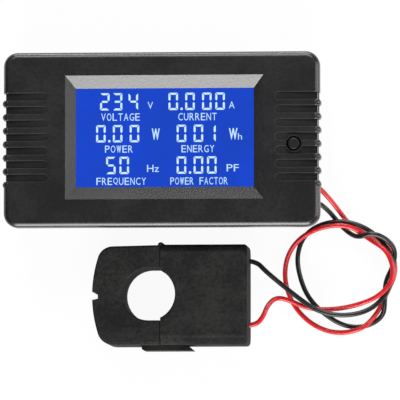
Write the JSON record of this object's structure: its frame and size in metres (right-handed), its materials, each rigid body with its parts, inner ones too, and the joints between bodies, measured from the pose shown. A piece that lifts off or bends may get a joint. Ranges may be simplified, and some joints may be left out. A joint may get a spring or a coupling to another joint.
{
  "type": "ac power meter",
  "caption": "Panel meter with a lit display and a button, screw terminals behind its end wall, and a hinged split current clamp on two thin leads.",
  "frame": {"origin": "middle of the meter's rear face, on which it lies", "axes": "+X along the meter towards the button, +Y up the display, +Z out of the display"},
  "size_m": [0.1108, 0.0841, 0.0247],
  "materials": {
    "housing_black": "fine matte grain",
    "button_black": "satin",
    "display_blue": "lit, polished",
    "light_guide": "frosted",
    "contact_rubber": "matte",
    "holder_white": "matte",
    "board_green": "solder mask",
    "plated_steel": "zinc plated",
    "terminal_brass": "plain",
    "terminal_green": "satin",
    "capacitor_yellow": "satin",
    "capacitor_sleeve": "shrunk sleeve",
    "varistor_blue": "dipped",
    "resistor_body": "lacquered",
    "chip_black": "moulded",
    "chip_ceramic": "glazed",
    "core_steel": "laminated",
    "bobbin_cream": "matte",
    "copper_wire": "enamelled",
    "lead_red": "smooth sleeve",
    "lead_black": "smooth sleeve"
  },
  "bodies": {
    "meter": {"black_lead": "lead_black", "bobbin": "bobbin_cream", "bridge_rectifier": "chip_black", "chip_resistors": "chip_ceramic", "clamp_body": "housing_black", "clamp_body_back": "housing_black", "contact_strip": "contact_rubber", "crystal": "plated_steel", "electrolytic_capacitor": "capacitor_sleeve", "film_capacitor": "capacitor_yellow", "fixed_core": "core_steel", "front_bezel": "housing_black", "fusible_resistor": "resistor_body", "hinge_pin": "plated_steel", "lcd_backlight": "light_guide", "lcd_glass": "display_blue", "lcd_holder": "holder_white", "lead_board": "board_green", "main_pcb": "board_green", "metering_chip": "chip_black", "microcontroller": "chip_black", "pcb_screws": "plated_steel", "rear_case": "housing_black", "red_lead": "lead_red", "switch_body": "chip_black", "terminal_bars": "terminal_brass", "terminal_block": "terminal_green", "varistor": "varistor_blue", "winding": "copper_wire", "wire_ferrules": "plated_steel"},
    "button": {"button_cap": "button_black", "switch_plunger": "holder_white"},
    "clamp_jaw": {"clamp_jaw_shell": "housing_black", "clamp_jaw_back": "housing_black", "moving_core": "core_steel", "core_spring": "plated_steel"},
    "screw_1": {"terminal_screw_1": "plated_steel"},
    "cage_1": {"wire_cage_1": "plated_steel"},
    "screw_2": {"terminal_screw_2": "plated_steel"},
    "cage_2": {"wire_cage_2": "plated_steel"},
    "screw_3": {"terminal_screw_3": "plated_steel"},
    "cage_3": {"wire_cage_3": "plated_steel"},
    "screw_4": {"terminal_screw_4": "plated_steel"},
    "cage_4": {"wire_cage_4": "plated_steel"}
  },
  "joints": [
    {"name": "button_press", "type": "slide", "parent": "meter", "child": "button", "axis": [0, 0, -1], "range_m": [0, 0.0003], "stiffness_N_per_m": 4000},
    {"name": "jaw_open", "type": "hinge", "parent": "meter", "child": "clamp_jaw", "pos_m": [-0.0009, -0.0294, 0.009], "axis": [0, 0, -1], "range_deg": [0, 28]},
    {"name": "screw_1_turn", "type": "hinge", "parent": "meter", "child": "screw_1", "pos_m": [0.0361, -0.0019, 0.0034], "axis": [0, 0, -1], "range_deg": [0, 721]},
    {"name": "cage_1_lift", "type": "slide", "parent": "meter", "child": "cage_1", "axis": [0, 0, 1], "range_m": [0, 0.0009]},
    {"name": "screw_2_turn", "type": "hinge", "parent": "meter", "child": "screw_2", "pos_m": [0.0361, -0.0069, 0.0034], "axis": [0, 0, -1], "range_deg": [0, 721]},
    {"name": "cage_2_lift", "type": "slide", "parent": "meter", "child": "cage_2", "axis": [0, 0, 1], "range_m": [0, 0.0009]},
    {"name": "screw_3_turn", "type": "hinge", "parent": "meter", "child": "screw_3", "pos_m": [0.0361, -0.0119, 0.0034], "axis": [0, 0, -1], "range_deg": [0, 721]},
    {"name": "cage_3_lift", "type": "slide", "parent": "meter", "child": "cage_3", "axis": [0, 0, 1], "range_m": [0, 0.0009]},
    {"name": "screw_4_turn", "type": "hinge", "parent": "meter", "child": "screw_4", "pos_m": [0.0361, -0.0169, 0.0034], "axis": [0, 0, -1], "range_deg": [0, 721]},
    {"name": "cage_4_lift", "type": "slide", "parent": "meter", "child": "cage_4", "axis": [0, 0, 1], "range_m": [0, 0.0009]}
  ],
  "couplings": [
    {"joint": "screw_1_turn", "follows": "cage_1_lift", "rad_per_m": 13963},
    {"joint": "screw_2_turn", "follows": "cage_2_lift", "rad_per_m": 13963},
    {"joint": "screw_3_turn", "follows": "cage_3_lift", "rad_per_m": 13963},
    {"joint": "screw_4_turn", "follows": "cage_4_lift", "rad_per_m": 13963}
  ]
}
